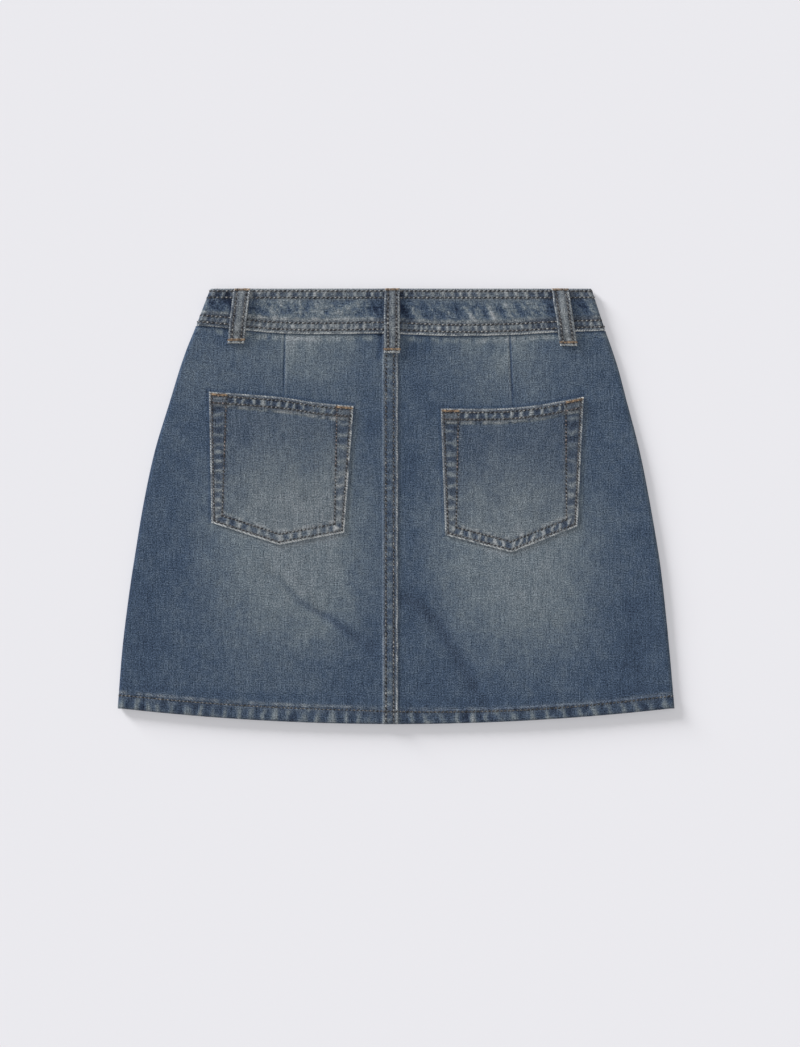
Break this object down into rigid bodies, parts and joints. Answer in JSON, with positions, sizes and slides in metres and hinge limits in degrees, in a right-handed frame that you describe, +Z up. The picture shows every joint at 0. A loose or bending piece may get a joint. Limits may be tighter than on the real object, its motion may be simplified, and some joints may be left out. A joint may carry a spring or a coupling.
{
  "type": "denim skirt",
  "caption": "Short A-line denim skirt lying flat with its back up: waistband with belt loops, felled back seam, darts and two patch pockets.",
  "frame": {"origin": "middle of the laid skirt's bounding box, on the table that it lies on", "axes": "+X to the wearer's right, across the skirt; +Y from the hem to the waist; +Z up out of the table, where the back faces"},
  "size_m": [0.486, 0.38, 0.0107],
  "materials": {
    "denim": "washed and faded indigo twill",
    "thread": "spun sewing thread",
    "zip_tape": "woven tape",
    "metal": "aged brass"
  },
  "bodies": {
    "root": {"back_left": "denim", "back_right": "denim", "front_left": "denim", "front_right": "denim", "waistband": "denim", "pocket_left": "denim", "pocket_right": "denim", "belt_loop_left": "denim", "belt_loop_centre": "denim", "belt_loop_right": "denim", "zip": "zip_tape", "zip_slider": "metal", "button": "metal"}
  },
  "joints": []
}
